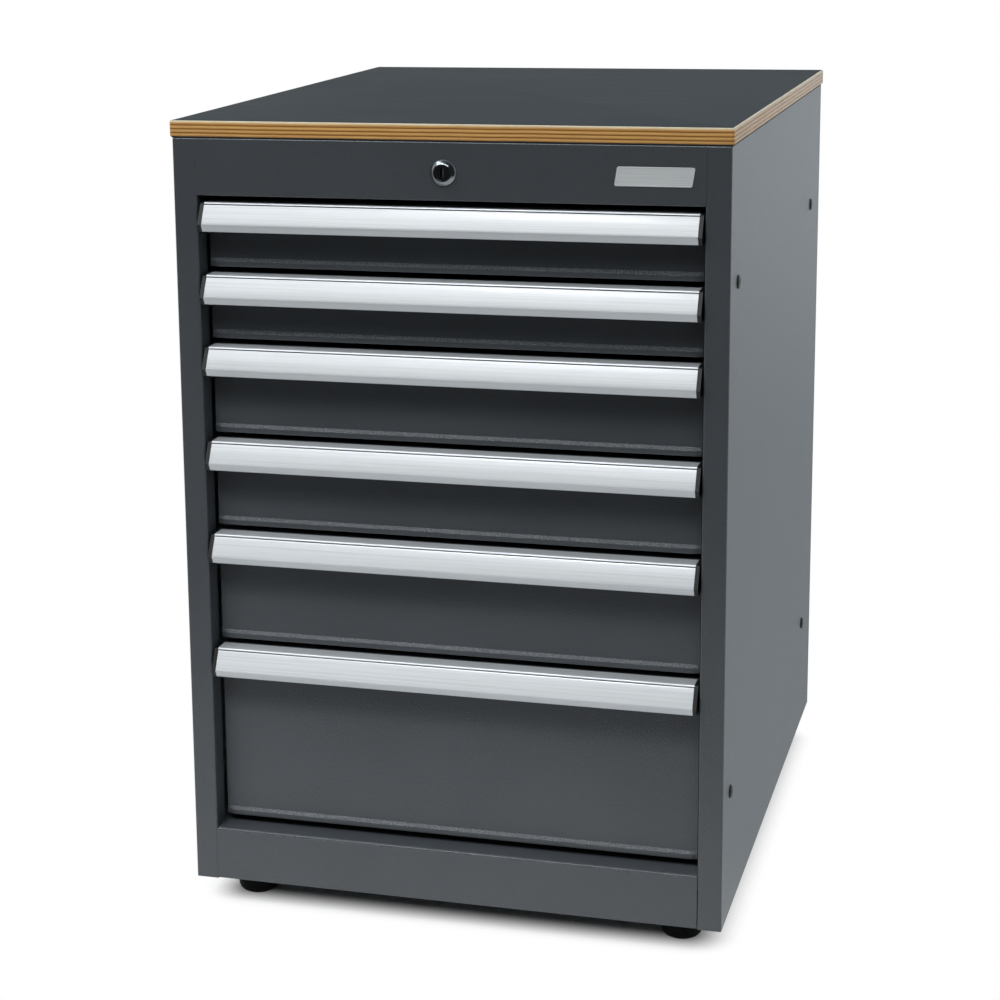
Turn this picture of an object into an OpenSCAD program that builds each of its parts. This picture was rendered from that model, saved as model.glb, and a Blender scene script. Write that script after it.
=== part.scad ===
// Small steel drawer cabinet: six drawers on full-extension runners, one central lock turned from
// the front rail, a plywood worktop and four levelling feet. Each module is one piece, or one set of
// identical pieces. Frame: +Z up, the front faces -Y, and the origin is on the floor under the middle
// of the bounding box. Inside the modules y is the depth behind the post faces and z the height above
// the lower edge of the carcass; place() carries both into the frame.

/* [Carcass] */
// Width over the side panels
body_w = 570; // [540:5:660]
// Depth of the side panels
body_d = 725; // [715:5:800]
// Thickness of the carcass sheet
sheet_t = 1.2; // [1:0.1:1.6]
// Outer radius of the folded sheet edges
bend_r = 2; // [1.8:0.1:3]
// Width of the folded front posts
post_w = 25; // [22:0.5:32]
// Depth of the drawer fronts behind the post faces
front_recess = 24; // [20:0.5:26]
// Height of the rail above the drawers
rail_h = 58; // [56:1:75]
// Height of the plinth below the drawers
plinth_h = 58; // [45:1:80]
// Height of the plinth's lower edge above that of the posts
plinth_lift = 1; // [0.5:0.1:2]
// Gap of the welded butt seams between rail, plinth and posts
seam = 0.2; // [0.1:0.05:0.4]
// Width of the rear flanges of the side panels
rear_flange_w = 15; // [10:1:25]
// Height of the flanges folded down from the top panel
top_flange_h = 20; // [12:1:25]
// Depth of the returns folded back from rail and plinth
return_d = 18; // [12:1:20]
// Height of the lip folded up behind the rail
rail_lip_h = 10; // [6:1:12]
// How far the runners' seat stands inside the posts' edge
seat_step = 1; // [0.5:0.5:2]

/* [Worktop] */
// Thickness of the plywood worktop
worktop_t = 18; // [15:1:30]
// Overhang of the worktop past the carcass on every side
worktop_overhang = 2; // [2:0.5:6]
// Radius of the worktop's upright corners
worktop_corner_r = 3; // [1:0.5:8]

/* [Feet] */
// Height of the carcass above the floor
foot_h = 32; // [30:1:50]
// Diameter of a foot pad
foot_pad_d = 44; // [36:1:60]
// Height of a foot pad
foot_pad_h = 20; // [12:1:21]
// Chamfer of a foot pad's lower edge, half that of its upper edge
foot_pad_edge = 1.5; // [0.5:0.5:3]
// Diameter of the threaded foot stud
foot_stud_d = 12; // [10:1:16]
// Room between a stud's top and the floor sheet
foot_stud_room = 12; // [5:1:16]
// Foot axis to the side of the carcass
foot_inset_x = 50; // [40:1:70]
// Foot axis to the front or back of the carcass
foot_inset_y = 57; // [45:1:80]
// Width across the flats of the lock nut on a stud
foot_nut_w = 19; // [17:1:24]
// Height of the lock nut on a stud
foot_nut_h = 6; // [5:1:8]
// Gap between the lock nut and the plate above it
foot_nut_gap = 0.3; // [0.2:0.1:0.5]
// Thickness of the plate that carries a foot
foot_plate_t = 3; // [2:0.5:5]
// Reach of that plate around the foot's axis
foot_plate_r = 32; // [24:1:32]
// Outer diameter of the threaded boss on the plate
foot_boss_d = 26; // [22:1:32]
// Height of the boss
foot_boss_h = 22; // [15:1:30]

/* [Drawer fronts] */
// Pitch of the two small drawers
small_pitch = 75; // [75:5:125]
// Pitch of the two medium drawers
medium_pitch = 100; // [75:5:150]
// Pitch of the large drawer
large_pitch = 125; // [75:5:200]
// Pitch of the deep drawer at the bottom
deep_pitch = 200; // [75:5:300]
// Gap between one front and the next
front_gap = 6; // [4:0.5:8]
// Gap above the top front
top_gap = 7; // [4:0.5:10]
// Gap below the bottom front
bottom_gap = 8; // [4:0.5:12]
// Gap between a front and each post
side_gap = 4; // [3:0.5:5]
// Height of the raised hem along a front's lower edge
hem_h = 5.5; // [4:0.5:8]
// How far the hem stands proud of the front
hem_proud = 1.6; // [1:0.1:2.5]
// Depth of the folded front
front_depth = 16; // [12:1:20]
// Height of the lip behind a front's lower fold
front_lip_h = 15; // [10:1:20]
// How much lower a front's upper edge is than its handle's
front_drop = 0.5; // [0.2:0.1:1]
// Gap between a front's upper fold and the box
fold_gap = 2; // [1:0.5:3]

/* [Handles] */
// Height of the handle profile
handle_h = 29.5; // [26:0.5:34]
// Reach of the handle in front of the drawer front
handle_reach = 31; // [28:0.5:36]
// Depth of the handle's flat top up to its front corner
handle_top_w = 19; // [15:0.5:22]
// Height of the lip below the slanted face
lip_h = 7.5; // [5:0.5:10]
// Setback of the lip's lower edge
lip_back = 4; // [2:0.5:6]
// Wall thickness of the profile
handle_wall = 1.8; // [1.4:0.1:2.4]
// Height of the handle's back leg, riveted to the front
handle_leg_h = 17; // [12:0.5:18]
// Length of the rounding at the top front corner
handle_round = 3; // [2:0.5:4]
// Thickness of the label strip
label_t = 0.8; // [0.6:0.1:1.2]
// Play of the label strip in its channel
label_play = 0.3; // [0.2:0.1:0.6]
// Width of the profile's edge below the label channel
label_ledge = 1; // [0.8:0.1:2]
// Width of the profile's edge above the label channel
label_edge = 0.2; // [0.1:0.1:1]
// Distance of the label strip's ends from the profile's
label_inset = 1; // [0:0.5:5]
// Thickness of an end cap
end_cap_t = 4; // [3:0.5:6]
// Gap between an end cap and the post
handle_side_gap = 2; // [1.5:0.5:3]
// Depth and height of the bevel at an end cap's lower back corner
end_cap_bevel = [4, 6];
// Length, depth and height of the peg on an end cap
peg = [6, 10.2, 6];
// Gaps in front of the profile's leg and under its top to the peg
peg_gap = [2, 0.3];

/* [Drawer boxes] */
// Room behind the drawer boxes for catches and lock bar
rear_room = 62.6; // [58:0.1:80]
// Thickness of the drawer sheet
drawer_t = 1; // [0.8:0.1:1.5]
// How much lower a box is than its pitch
box_clear = 20; // [18:1:22]
// Height of a box's bottom above its front's lower edge
box_lift = 4; // [2:0.5:6]
// Height of the hem folded flat inside a box's upper edges
box_hem_h = 8; // [5:0.5:9]
// Pitch of the divider slots in the front and rear walls
slot_pitch = 51; // [34:17:102]
// Width of a divider slot
slot_w = 2.5; // [2:0.5:4]
// Wall left above and below a divider slot
slot_margin = 10; // [9:0.5:15]
// Wall left beside the outermost divider slots
slot_end = 20; // [10:1:40]

/* [Runners] */
// Distance of the runners' rear ends from the back of the boxes
runner_setback = 18; // [10:1:60]
// Height of a runner
runner_h = 46; // [42:1:46]
// Width of a runner between drawer and upright
runner_w = 13; // [13:0.5:16]
// Thickness of the runner steel
runner_t = 1.4; // [1.2:0.1:1.6]
// Play between two runner members
runner_play = 0.6; // [0.4:0.1:0.8]
// Gap between the outer members' edges and the drawer sides
outer_lip_gap = 4; // [3:0.5:5]
// Gap between the middle members' edges and the drawer sides
middle_lip_gap = 3; // [2:0.5:4]
// Gap between the fronts' folds and the runners
runner_gap = 2; // [1:0.5:4]
// Height of the runner's middle above the box bottom
runner_rise = 27.5; // [26:0.5:30]
// Thickness of the slotted uprights
upright_t = 2; // [1.5:0.5:3]
// Width of an upright, front to back
upright_w = 40; // [30:2:50]
// Distance of the uprights from the runners' ends
upright_inset = 60; // [50:1:100]
// Height of the uprights above the drawers' opening
upright_rise = 20; // [10:1:30]
// Pitch of the hook slots in the uprights
hook_pitch = 25; // [25:25:50]
// Width of a hook slot
hook_slot_w = 14; // [8:1:20]
// Height of a hook slot
hook_slot_h = 4; // [3:0.5:8]

/* [Central lock] */
// Depth of the lock axis below the top of the carcass
lock_drop = 30; // [24:0.5:36]
// Diameter of the lock's domed rose
rose_d = 27; // [25:1:34]
// How far the rose stands in front of the rail
rose_h = 5; // [3:0.5:6]
// Diameter of the lock body behind the rail
lock_body_d = 20; // [18:1:24]
// Length of the lock body behind the rail face
lock_body_l = 24; // [18:1:30]
// Thickness of the nut that holds the lock body
lock_nut_t = 5; // [3:0.5:8]
// Wall of that nut around the lock body
lock_nut_wall = 3; // [2:0.5:4]
// Diameter of the key plug
plug_d = 14; // [10:1:15]
// Length of the plug's tail behind the lock body
plug_tail_l = 6; // [4:1:12]
// Width, height and depth of the keyway
keyway = [2, 9, 7];
// Diameter of the rod to the rear
rod_d = 8; // [6:1:10]
// Wall of the rod's hubs
hub_wall = 3; // [2:0.5:4]
// Length of the hub on the plug's tail
hub_l = 14; // [8:1:20]
// Width of the bearing that hangs from the top panel
bearing_w = 40; // [30:1:60]
// Thickness of the bearing
bearing_t = 3; // [2:0.5:5]
// Depth of the bearing below the rod's axis
bearing_drop = 12; // [10:0.5:16]
// Distance of the bearing in front of the crank
bearing_gap = 15; // [8:1:30]
// Radius of the crank on the rod
crank_r = 10; // [8:0.5:11]
// Diameter of the crank pin
crank_pin_d = 6; // [5:0.5:7]
// Wall of the crank around its pin
crank_eye_wall = 2.5; // [2:0.5:4]
// Width of the crank arm
crank_arm_w = 10; // [8:0.5:10]
// Thickness of the crank arm
crank_t = 4; // [3:0.5:5]
// Gap between the crank and the lock bar
crank_gap = 8; // [4:0.5:10]
// Length of the pin behind the lock bar
pin_tail = 3; // [1:0.5:5]
// Play of the crank pin in the lock bar's slot
pin_play = 0.7; // [0.6:0.1:1]
// Radial running play of turning and screwed shafts
shaft_play = 0.05; // [0.02:0.01:0.1]
// Width of the lock bar
bar_w = 30; // [24:1:36]
// Thickness of the lock bar
bar_t = 3; // [2.5:0.5:4]
// Gap between the lock bar and the back panel
bar_gap = 20; // [20:1:26]
// Height of the lock bar's head above and below the pin
bar_head_h = 12; // [8:1:16]
// Edge of the head beside the pin's slot
bar_head_edge = 8; // [5:1:12]
// Length of the lock bar below its lowest ear
bar_tail = 10; // [5:1:20]
// Play of the lock bar in its guides
guide_play = 0.3; // [0.2:0.1:0.5]
// Thickness of the guides
guide_t = 2; // [1.5:0.5:3]
// Height of a guide
guide_h = 20; // [12:1:30]
// Width of the catches
catch_w = 24; // [16:1:28]
// Thickness of the catches
catch_t = 2; // [1.5:0.5:3]
// Gap between the catches and the edge of the lock bar
catch_gap = 5; // [3:0.5:8]
// Depth of a catch below the upper edge of its box
catch_drop = 15; // [14:1:20]
// Height of the flange that holds a catch to its box
catch_flange_h = 12; // [8:1:13]
// Diameter of the stud under a catch
stud_d = 8; // [6:0.5:8]
// Length of the stud
stud_l = 10; // [8:0.5:12]
// Slack between a stud and a raised ear of the lock bar
catch_slack = 3; // [2:0.5:4]
// Gap between a catch and a raised ear
catch_play = 1; // [0.8:0.1:1.5]
// Height of an ear
ear_h = 12; // [8:1:16]

/* [Side holes] */
// Diameter of the joining holes in the side panels
hole_d = 12; // [10:0.5:14]
// Diameter of a blanking plug's head
plug_head_d = 14; // [13:0.5:18]
// How far a plug's head stands proud of the panel
plug_head_t = 2; // [1:0.5:2]
// Length of a plug's stem behind the panel
plug_stem_l = 4; // [2:0.5:6]
// Radial play of a plug's stem
plug_play = 0.1; // [0.05:0.05:0.2]
// Depth of the front holes behind the post faces
hole_front = 48; // [44:1:60]
// Distance of the rear holes from the back
hole_rear = 89; // [70:1:100]
// Height of the lower holes
hole_low = 134; // [110:1:200]
// Distance of the upper holes from the top of the carcass
hole_top = 137; // [100:1:200]

/* [Hidden] */
pitches = [small_pitch, small_pitch, medium_pitch, medium_pitch, large_pitch, deep_pitch];
drawer_count = len(pitches);
function sum(v, n) = n <= 0 ? 0 : v[n - 1] + sum(v, n - 1);

// Heights of the stack, from the plinth up
opening_z0 = plinth_h;
opening_z1 = plinth_h + bottom_gap + sum(pitches, drawer_count) - front_gap + top_gap;
body_h = opening_z1 + rail_h;
function front_top(k) = opening_z1 - top_gap - sum(pitches, k - 1);
function front_bottom(k) = front_top(k) - pitches[k - 1] + front_gap;
function box_bottom(k) = front_bottom(k) + box_lift;
function box_h(k) = pitches[k - 1] - box_clear;
function box_top(k) = box_bottom(k) + box_h(k);
function runner_z(k) = box_bottom(k) + runner_rise;
function catch_z(k) = box_top(k) - catch_drop;
function ear_top(k) = catch_z(k) - catch_play - bar_rise;

// Widths, from the middle out
opening_x = body_w / 2 - post_w;
panel_x = body_w / 2 - sheet_t;
seat_x = opening_x - seat_step;
box_x = seat_x - runner_w;
front_x = opening_x - side_gap;
handle_x = opening_x - handle_side_gap - end_cap_t;

// Depths behind the post faces
handle_proud = handle_reach - front_recess;
back_y = body_d - 2 * sheet_t;
box_y = front_recess + front_depth;
box_back = back_y - rear_room;
runner_y = box_y + runner_gap;
runner_end = box_back - runner_setback;
bar_y = back_y - bar_gap - bar_t;
stud_y = bar_y + bar_t + catch_slack + stud_d / 2;
catch_end = stud_y + stud_d;

// Place of the carcass in the frame: the handles reach furthest forward, the worktop furthest back
front_proud = max(handle_proud, worktop_overhang);
front_y = front_proud - (front_proud + body_d + worktop_overhang) / 2;
module place() translate([0, front_y, foot_h]) children();

// Outline of the handle, as [reach in front of the drawer front, height above the lip]
corner = [handle_top_w, handle_h];
crease = [handle_reach, lip_h];
face_l = norm(crease - corner);
along = (crease - corner) / face_l;
outward = [-along[1], along[0]];
function face(s, out) = corner + along * s + outward * out;
function bezier(a, b, c, n) =
    [for (i = [0:n]) let (t = i / n) a * pow(1 - t, 2) + b * 2 * t * (1 - t) + c * pow(t, 2)];
top_round = bezier(corner - [handle_round, 0], corner, face(handle_round, 0), 5);
label_s0 = handle_round + label_edge;
label_s1 = face_l - label_ledge;
inner_off = handle_wall + label_t;
inner_s = (handle_wall - outward[1] * inner_off) / -along[1];
function handle_z(k) = front_top(k) - handle_h;

// Lock: the crank swings from 45 degrees below to 45 degrees above the level
lock_z = body_h - lock_drop;
lock_turn = 90;
pin_x = crank_r * cos(lock_turn / 2);
pin_z = lock_z - crank_r * sin(lock_turn / 2);
bar_rise = 2 * crank_r * sin(lock_turn / 2);
catch_x = bar_w / 2 + catch_gap + catch_w / 2;
crank_y = bar_y - crank_gap - crank_t;
rod_y = lock_body_l + plug_tail_l;
bearing_y = crank_y - bearing_gap - bearing_t;
hub_d = rod_d + 2 * hub_wall;

// Uprights carry the runners near both ends
upright_y = [runner_y + upright_inset, runner_end - upright_inset];
upright_top = opening_z1 + upright_rise;

// Levelling feet
foot_stud_top = plinth_h - sheet_t - foot_stud_room;

// How far cuts run past what they cut
past = 1;

$fn = 48;

CARCASS = ["left_side_panel", "right_side_panel", "back_panel", "base_panel", "top_panel", "front_top_rail",
           "worktop", "runner_uprights", "outer_runner_members", "side_hole_plugs"];
LOCK = ["lock_housing", "lock_plug", "lock_rod", "lock_bar"];
FEET = ["foot_front_left", "foot_front_right", "foot_rear_left", "foot_rear_right"];
DRAWER_PIECES = ["box", "front", "handle", "end_caps", "label_strip", "inner_members"];

// ---- helpers ----

// A section drawn as [depth, height], run from x0 to x1
module along_x(x0, x1) translate([x0, 0, 0]) rotate([90, 0, 90]) linear_extrude(x1 - x0) children();

// A section drawn as [x, height], run from depth y0 to y1
module along_y(y0, y1) translate([0, y1, 0]) rotate([90, 0, 0]) linear_extrude(y1 - y0) children();

module both_sides() {
    children();
    mirror([1, 0, 0]) children();
}

// Quarter ring of a folded edge, about its centre, in the quadrant turned by a
module bend(a) rotate(a) difference() {
    intersection() {
        circle(bend_r);
        square(bend_r);
    }
    circle(bend_r - sheet_t);
}

// A box from its lowest to its highest corner
module block(low, high) translate(low) cube(high - low);

// A cylinder along the depth, from y0 to y1
module rod_along_y(d, x, z, y0, y1) translate([x, y1, z]) rotate([90, 0, 0]) cylinder(d = d, h = y1 - y0);

// ---- carcass ----

module side_section() {
    outer_x = body_w / 2;
    translate([opening_x + bend_r, 0]) square([post_w - 2 * bend_r, sheet_t]);
    translate([opening_x, bend_r]) square([sheet_t, front_recess - bend_r]);
    translate([opening_x + bend_r, bend_r]) bend(180);
    translate([outer_x - bend_r, bend_r]) bend(270);
    translate([panel_x, bend_r]) square([sheet_t, body_d - 2 * bend_r]);
    translate([outer_x - bend_r, body_d - bend_r]) bend(0);
    translate([outer_x - rear_flange_w, body_d - sheet_t]) square([rear_flange_w - bend_r, sheet_t]);
}

module at_side_holes() {
    for (y = [hole_front, body_d - hole_rear], z = [hole_low, body_h - hole_top])
        translate([panel_x, y, z]) rotate([0, 90, 0]) children();
}

module side_panel() difference() {
    linear_extrude(body_h) side_section();
    // room for the top panel, which rests on the folded edges
    block([opening_x - past, sheet_t, body_h - sheet_t], [panel_x, body_d - sheet_t, body_h + past]);
    at_side_holes() translate([0, 0, -past]) cylinder(d = hole_d, h = sheet_t + 2 * past);
}

module right_side_panel() color("dimgray") place() side_panel();

module left_side_panel() color("dimgray") place() mirror([1, 0, 0]) side_panel();

// Loops on the back panel in which the lock bar slides
module bar_guide(z) {
    t = guide_t;
    half = bar_w / 2 + guide_play;
    front = bar_y - guide_play - t;
    rear = bar_y + bar_t + guide_play;
    translate([0, 0, z - guide_h / 2]) linear_extrude(guide_h) {
        both_sides() translate([half, front]) square([t, back_y - front]);
        for (y = [front, rear]) translate([-half - t, y]) square([2 * (half + t), t]);
    }
}

module back_panel() color("dimgray") place() {
    side_x = body_w / 2 - bend_r;
    block([-side_x, back_y, plinth_lift], [side_x, back_y + sheet_t, body_h - sheet_t]);
    for (k = [1, drawer_count - 1]) bar_guide((ear_top(k) - ear_h + ear_top(k + 1) + bar_rise) / 2);
}

// Floor sheet, folded down in front as the plinth and at the back and sides as flanges
module base_panel() color("dimgray") place() difference() {
    ledge_x = opening_x - seam;
    floor_z = plinth_h - sheet_t;
    wide_y = front_recess + seam;
    plate_x = body_w / 2 - foot_inset_x - foot_plate_r;
    union() {
        along_x(-ledge_x, ledge_x) {
            translate([0, plinth_lift]) square([sheet_t, plinth_h - bend_r - plinth_lift]);
            translate([bend_r, plinth_h - bend_r]) bend(90);
            translate([bend_r, floor_z]) square([wide_y, sheet_t]);
            translate([0, plinth_lift]) square([return_d, sheet_t]);
        }
        block([-panel_x, wide_y, floor_z], [panel_x, back_y, plinth_h]);
        block([-panel_x, back_y - sheet_t, plinth_lift], [panel_x, back_y, plinth_h]);
        both_sides() {
            block([panel_x - sheet_t, wide_y, plinth_lift], [panel_x, back_y, plinth_h]);
            for (y = [foot_inset_y, body_d - foot_inset_y])
                block([plate_x, max(y - foot_plate_r, wide_y), plinth_lift],
                      [panel_x, y + foot_plate_r, plinth_lift + foot_plate_t]);
        }
        at_feet() translate([0, 0, plinth_lift]) cylinder(d = foot_boss_d, h = foot_boss_h);
    }
    at_feet() cylinder(r = foot_stud_d / 2 + shaft_play, h = plinth_lift + foot_boss_h + past);
}

module top_panel() color("dimgray") place() difference() {
    flange_z = body_h - top_flange_h;
    union() {
        block([-opening_x, 0, body_h - sheet_t], [opening_x, sheet_t, body_h]);
        block([-panel_x, sheet_t, body_h - sheet_t], [panel_x, body_d - sheet_t, body_h]);
        both_sides() block([panel_x - sheet_t, front_recess + seam, flange_z], [panel_x, back_y, body_h]);
        block([-panel_x, back_y - sheet_t, flange_z], [panel_x, back_y, body_h]);
        // hanging bearing for the lock rod
        block([-bearing_w / 2, bearing_y, lock_z - bearing_drop], [bearing_w / 2, bearing_y + bearing_t, body_h]);
    }
    rod_along_y(rod_d + 2 * shaft_play, 0, lock_z, bearing_y - past, bearing_y + bearing_t + past);
}

module front_top_rail() color("dimgray") place() difference() {
    along_x(-opening_x + seam, opening_x - seam) {
        translate([0, opening_z1 + bend_r]) square([sheet_t, rail_h - bend_r - sheet_t]);
        translate([bend_r, opening_z1 + bend_r]) bend(180);
        translate([bend_r, opening_z1]) square([front_recess - bend_r, sheet_t]);
        translate([front_recess - sheet_t, opening_z1]) square([sheet_t, rail_lip_h]);
        translate([0, body_h - 2 * sheet_t]) square([return_d, sheet_t]);
    }
    rod_along_y(lock_body_d + 2 * shaft_play, 0, lock_z, -past, sheet_t + past);
}

module worktop() color("peru") place() {
    w = body_w / 2 + worktop_overhang - worktop_corner_r;
    y0 = -worktop_overhang + worktop_corner_r;
    y1 = body_d + worktop_overhang - worktop_corner_r;
    r = worktop_corner_r;
    translate([0, 0, body_h]) linear_extrude(worktop_t) {
        translate([-w - r, y0]) square([2 * (w + r), y1 - y0]);
        translate([-w, y0 - r]) square([2 * w, y1 - y0 + 2 * r]);
        for (x = [-w, w], y = [y0, y1]) translate([x, y]) circle(r);
    }
}

// Slotted posts welded inside the side panels
module runner_uprights() color("silver") place() both_sides() for (y = upright_y) difference() {
    translate([0, 0, plinth_h]) linear_extrude(upright_top - plinth_h) {
        translate([seat_x, y - upright_w / 2]) square([upright_t, upright_w]);
        for (edge = [y - upright_w / 2, y + upright_w / 2 - upright_t])
            translate([seat_x, edge]) square([panel_x - seat_x, upright_t]);
    }
    for (z = [plinth_h + hook_pitch : hook_pitch : upright_top - hook_pitch / 2])
        block([seat_x - past, y - hook_slot_w / 2, z], [seat_x + upright_t + past, y + hook_slot_w / 2, z + hook_slot_h]);
}

module side_hole_plugs() color("black") place() both_sides() at_side_holes() {
    r = plug_head_d / 2;
    bevel = plug_head_t / 2;
    head = [[0, 0], [r, 0], [r, plug_head_t - bevel], [r - bevel, plug_head_t], [0, plug_head_t]];
    translate([0, 0, sheet_t]) rotate_extrude() polygon(head);
    translate([0, 0, -plug_stem_l]) cylinder(r = hole_d / 2 - plug_play, h = sheet_t + plug_stem_l);
}

// ---- runners: the outer member sits on the uprights, the inner one on the drawer ----

// A channel section [x, height] from its web at x0 to its free edges at x1
module channel(x0, x1, half_h) {
    side = x1 > x0 ? 1 : -1;
    web = [min(x0, x0 + side * runner_t), max(x0, x0 + side * runner_t)];
    translate([web[0], -half_h]) square([runner_t, 2 * half_h]);
    for (z = [-half_h, half_h - runner_t]) translate([min(x0, x1), z]) square([abs(x1 - x0), runner_t]);
}

module runner(k) translate([0, 0, runner_z(k)]) both_sides()
    along_y(runner_y, runner_end) children();

module outer_runner_members() color("gainsboro") place()
    for (k = [1:drawer_count]) runner(k) channel(seat_x, box_x + outer_lip_gap, runner_h / 2);

module slide_middle_members(k) color("gainsboro") place() runner(k)
    channel(seat_x - runner_t - runner_play, box_x + middle_lip_gap, runner_h / 2 - runner_t - runner_play);

module drawer_inner_members(k) color("gainsboro") place() runner(k)
    channel(box_x, seat_x - 2 * (runner_t + runner_play), runner_h / 2 - 2 * (runner_t + runner_play));

// ---- drawers ----

// Bottom, sides and slotted walls of a box, welded along their seams, and the catch behind it
module drawer_box(k) color("darkgray") place() {
    t = drawer_t;
    z0 = box_bottom(k);
    block([-box_x + t + seam, box_y + t + seam, z0], [box_x - t - seam, box_back - t - seam, z0 + t]);
    both_sides() {
        block([box_x - t, box_y, z0], [box_x, box_back, box_top(k)]);
        block([box_x - 2 * t, box_y + 2 * t + seam, box_top(k) - box_hem_h],
              [box_x, box_back - 2 * t - seam, box_top(k)]);
    }
    slotted_wall(k, box_y, 1);
    slotted_wall(k, box_back, -1);
    drawer_catch(k);
}

// Wall between the sides, with its outer face at depth y and its sheet and hem towards side
module slotted_wall(k, y, side) difference() {
    half = box_x - drawer_t - seam;
    slots = floor((box_x - slot_end) / slot_pitch);
    for (part = [[box_bottom(k), drawer_t], [box_top(k) - box_hem_h, 2 * drawer_t]])
        block([-half, min(y, y + side * part[1]), part[0]], [half, max(y, y + side * part[1]), box_top(k)]);
    for (x = [-slots * slot_pitch : slot_pitch : slots * slot_pitch])
        if (side > 0 || abs(x - catch_x) > (catch_w + slot_w) / 2)
            block([x - slot_w / 2, y - drawer_t - past, box_bottom(k) + slot_margin],
                  [x + slot_w / 2, y + drawer_t + past, box_top(k) - slot_margin]);
}

// Strap with a flange on the rear wall and a stud under its end
module drawer_catch(k) translate([catch_x, 0, catch_z(k)]) {
    y0 = box_back + seam;
    block([-catch_w / 2, y0, 0], [catch_w / 2, catch_end, catch_t]);
    block([-catch_w / 2, y0, 0], [catch_w / 2, y0 + catch_t, catch_flange_h]);
    translate([0, stud_y, -stud_l]) cylinder(d = stud_d, h = stud_l - seam);
}

module drawer_front(k) color("dimgray") place() {
    t = sheet_t;
    y0 = front_recess;
    y1 = front_recess + front_depth;
    z0 = front_bottom(k);
    z1 = front_top(k) - front_drop;
    fold_y = y1 - fold_gap;
    hem_y = y0 - hem_proud;
    step = [hem_h, hem_h + hem_proud];
    along_x(-front_x, front_x) polygon([
        [y0, z1], [y0, z0 + step[1]], [hem_y, z0 + step[0]], [hem_y, z0], [y1, z0], [y1, z0 + front_lip_h],
        [y1 - t, z0 + front_lip_h], [y1 - t, z0 + t], [hem_y + t, z0 + t], [hem_y + t, z0 + step[0] - t / 2],
        [y0 + t, z0 + step[1] - t / 2], [y0 + t, z1 - t], [fold_y, z1 - t], [fold_y, z1]]);
    both_sides() block([front_x - t, y0 + t / 2, z0 + t / 2], [front_x, fold_y, z1 - t / 2]);
}

// Turns an outline of [reach, height] into [depth, height]
function to_depth(points, k) = [for (p = points) [front_recess - p[0], handle_z(k) + p[1]]];

module drawer_handle(k) color("white") place() along_x(-handle_x, handle_x) polygon(to_depth(concat(
    [[0, handle_h]], top_round,
    [face(label_s0, 0), face(label_s0, -label_t), face(label_s1, -label_t), face(label_s1, 0), crease,
     [handle_reach - lip_back, 0], [handle_reach - lip_back - handle_wall, 0],
     face(face_l, -inner_off), face(inner_s, -inner_off), [handle_wall, handle_h - handle_wall],
     [handle_wall, handle_h - handle_leg_h], [0, handle_h - handle_leg_h]]), k));

module drawer_end_caps(k) color("black") place() both_sides() {
    peg_y = front_recess - handle_wall - peg_gap[0];
    peg_z = handle_z(k) + handle_h - handle_wall - peg_gap[1];
    along_x(handle_x, handle_x + end_cap_t) polygon(to_depth(concat(
        [[0, handle_h]], top_round,
        [crease, [handle_reach - lip_back, 0], [end_cap_bevel[0], 0], [0, end_cap_bevel[1]]]), k));
    block([handle_x - peg[0], peg_y - peg[1], peg_z - peg[2]], [handle_x, peg_y, peg_z]);
}

module drawer_label_strip(k) color("whitesmoke") place() along_x(-handle_x + label_inset, handle_x - label_inset)
    polygon(to_depth([
        face(label_s0 + label_play, 0), face(label_s1 - label_play, 0),
        face(label_s1 - label_play, -label_t), face(label_s0 + label_play, -label_t)], k));

// ---- central lock ----

module lock_housing() color("silver") place() translate([0, 0, lock_z]) rotate([-90, 0, 0]) difference() {
    bore = plug_d / 2 + shaft_play;
    union() {
        // the domed rose, outlined in shares of its radius and height, with a dished middle
        rotate_extrude() polygon([
            [0, 0], [rose_d / 2, 0], [rose_d / 2, -0.25 * rose_h], [0.45 * rose_d, -0.7 * rose_h],
            [0.4 * rose_d, -0.95 * rose_h], [0.36 * rose_d, -rose_h], [bore, -0.55 * rose_h],
            [0, -0.55 * rose_h]]);
        cylinder(d = lock_body_d, h = lock_body_l);
        translate([0, 0, sheet_t]) cylinder(d = lock_body_d + 2 * lock_nut_wall, h = lock_nut_t, $fn = 6);
    }
    translate([0, 0, -rose_h - past]) cylinder(r = bore, h = rose_h + lock_body_l + 2 * past);
}

module lock_plug() color("black") place() difference() {
    face_y = -0.6 * rose_h;
    union() {
        rod_along_y(plug_d, 0, lock_z, face_y, lock_body_l);
        rod_along_y(rod_d, 0, lock_z, lock_body_l, rod_y);
    }
    block([-keyway[0], face_y - past, lock_z - keyway[1] / 2], [0, face_y + keyway[2], lock_z + keyway[1] / 2]);
}

module lock_rod() color("silver") place() {
    rod_along_y(hub_d, 0, lock_z, rod_y, rod_y + hub_l);
    rod_along_y(rod_d, 0, lock_z, rod_y, crank_y);
    rod_along_y(hub_d, 0, lock_z, crank_y, crank_y + crank_t);
    rod_along_y(crank_pin_d + 2 * crank_eye_wall, pin_x, pin_z, crank_y, crank_y + crank_t);
    translate([0, 0, lock_z]) rotate([0, lock_turn / 2, 0])
        block([0, crank_y, -crank_arm_w / 2], [crank_r, crank_y + crank_t, crank_arm_w / 2]);
    rod_along_y(crank_pin_d, pin_x, pin_z, crank_y + crank_t, bar_y + bar_t + pin_tail);
}

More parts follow.
